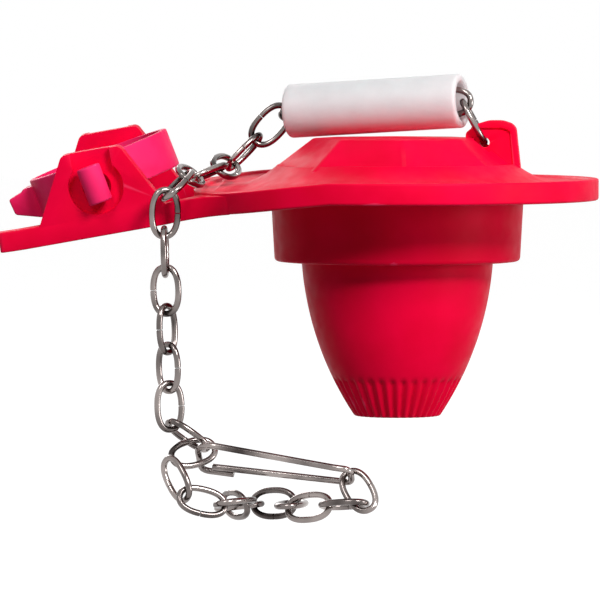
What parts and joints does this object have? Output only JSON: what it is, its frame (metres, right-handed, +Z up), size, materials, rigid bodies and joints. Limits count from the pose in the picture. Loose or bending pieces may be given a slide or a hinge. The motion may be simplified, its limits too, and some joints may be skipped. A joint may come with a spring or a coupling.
{
  "type": "toilet flapper",
  "caption": "Red rubber cistern flapper with a hollow fluted plug cone, a pivoting overflow ring, a lift chain through a white tube float, and a wire clip.",
  "frame": {"origin": "centre of the valve opening, in the plane of the disc underside that seals on the valve seat", "axes": "+Z up, out of the valve; +X from the pivot ears to the lift lug; -Y the near side of the picture"},
  "size_m": [0.1161, 0.079, 0.0868],
  "materials": {
    "rubber": "satin",
    "foam": "matte",
    "steel": "polished"
  },
  "bodies": {
    "flapper": {"flapper_body": "rubber"},
    "ring": {"overflow_ring": "rubber"},
    "lift_link": {"chain_link_01": "steel"},
    "float_run": {"float": "foam", "chain_link_02": "steel", "chain_link_03": "steel", "chain_link_04": "steel", "chain_link_05": "steel", "chain_link_06": "steel"},
    "link_07": {"chain_link_07": "steel"},
    "link_08": {"chain_link_08": "steel"},
    "link_09": {"chain_link_09": "steel"},
    "link_10": {"chain_link_10": "steel"},
    "link_11": {"chain_link_11": "steel"},
    "link_12": {"chain_link_12": "steel"},
    "link_13": {"chain_link_13": "steel"},
    "link_14": {"chain_link_14": "steel"},
    "link_15": {"chain_link_15": "steel"},
    "link_16": {"chain_link_16": "steel"},
    "link_17": {"chain_link_17": "steel"},
    "link_18": {"chain_link_18": "steel"},
    "heap": {"chain_link_19": "steel", "chain_link_20": "steel", "chain_link_21": "steel", "chain_link_22": "steel", "chain_link_23": "steel", "chain_link_24": "steel", "chain_link_25": "steel", "chain_link_26": "steel", "chain_link_27": "steel", "chain_link_28": "steel", "chain_link_29": "steel", "chain_link_30": "steel", "chain_clip": "steel"}
  },
  "joints": [
    {"name": "ring_pivot", "type": "hinge", "parent": "flapper", "child": "ring", "pos_m": [-0.05755, -0.00097, 0.00466], "axis": [-0.0111, 0.998, 0.0618], "range_deg": [-20, 100]},
    {"name": "lift_link_pivot", "type": "hinge", "parent": "flapper", "child": "lift_link", "pos_m": [0.01721, 0, 0.01142], "axis": [0, 1, 0], "range_deg": [0, 20]},
    {"name": "float_swing", "type": "hinge", "parent": "lift_link", "child": "float_run", "pos_m": [0.01287, -0.00042, 0.01936], "axis": [-0.0219, 0.999, 0.04], "range_deg": [0, 15]},
    {"name": "link_07_swing", "type": "hinge", "parent": "float_run", "child": "link_07", "pos_m": [-0.02363, 0.00802, 0.01698], "axis": [-0.1388, -0.7738, -0.618], "range_deg": [-40, 0]},
    {"name": "link_08_swing", "type": "hinge", "parent": "link_07", "child": "link_08", "pos_m": [-0.0288, 0.00649, 0.01122], "axis": [0.7159, 0.1497, -0.6819], "range_deg": [-30, 0]},
    {"name": "link_09_swing", "type": "hinge", "parent": "link_08", "child": "link_09", "pos_m": [-0.03387, 0.00428, 0.00615], "axis": [-0.0534, 0.9346, -0.3518], "range_deg": [0, 8]},
    {"name": "link_10_swing", "type": "hinge", "parent": "link_09", "child": "link_10", "pos_m": [-0.03497, -0.00393, 0.00573], "axis": [-0.7219, 0.0617, 0.6893], "range_deg": [0, 40]},
    {"name": "link_11_swing", "type": "hinge", "parent": "link_10", "child": "link_11", "pos_m": [-0.03939, -0.00991, 0.00444], "axis": [0.6899, -0.5971, 0.4092], "range_deg": [-40, 0]},
    {"name": "link_12_swing", "type": "hinge", "parent": "link_11", "child": "link_12", "pos_m": [-0.04019, -0.01759, 0.00494], "axis": [0.7316, -0.1207, -0.671], "range_deg": [-50, 0]},
    {"name": "link_13_swing", "type": "hinge", "parent": "link_12", "child": "link_13", "pos_m": [-0.04294, -0.02343, 0.00108], "axis": [-0.7145, 0.5872, -0.3802], "range_deg": [-10, 50]},
    {"name": "link_14_swing", "type": "hinge", "parent": "link_13", "child": "link_14", "pos_m": [-0.04344, -0.02211, -0.00653], "axis": [-0.9291, -0.3698, -0.0028], "range_deg": [-45, 45]},
    {"name": "link_15_swing", "type": "hinge", "parent": "link_14", "child": "link_15", "pos_m": [-0.04324, -0.02251, -0.01402], "axis": [-0.029, 0.9981, -0.0539], "range_deg": [-25, 45]},
    {"name": "link_16_swing", "type": "hinge", "parent": "link_15", "child": "link_16", "pos_m": [-0.04302, -0.02242, -0.02152], "axis": [0.973, -0.2293, 0.0253], "range_deg": [-45, 30]},
    {"name": "link_17_swing", "type": "hinge", "parent": "link_16", "child": "link_17", "pos_m": [-0.04275, -0.02241, -0.02901], "axis": [0.4731, 0.8808, 0.0183], "range_deg": [-45, 45]},
    {"name": "link_18_swing", "type": "hinge", "parent": "link_17", "child": "link_18", "pos_m": [-0.04255, -0.02241, -0.03651], "axis": [-0.785, 0.6192, -0.0205], "range_deg": [-40, 45]},
    {"name": "heap_swing", "type": "hinge", "parent": "link_18", "child": "heap", "pos_m": [-0.04235, -0.0224, -0.04401], "axis": [-0.8501, -0.5261, -0.0236], "range_deg": [-45, 45]}
  ]
}
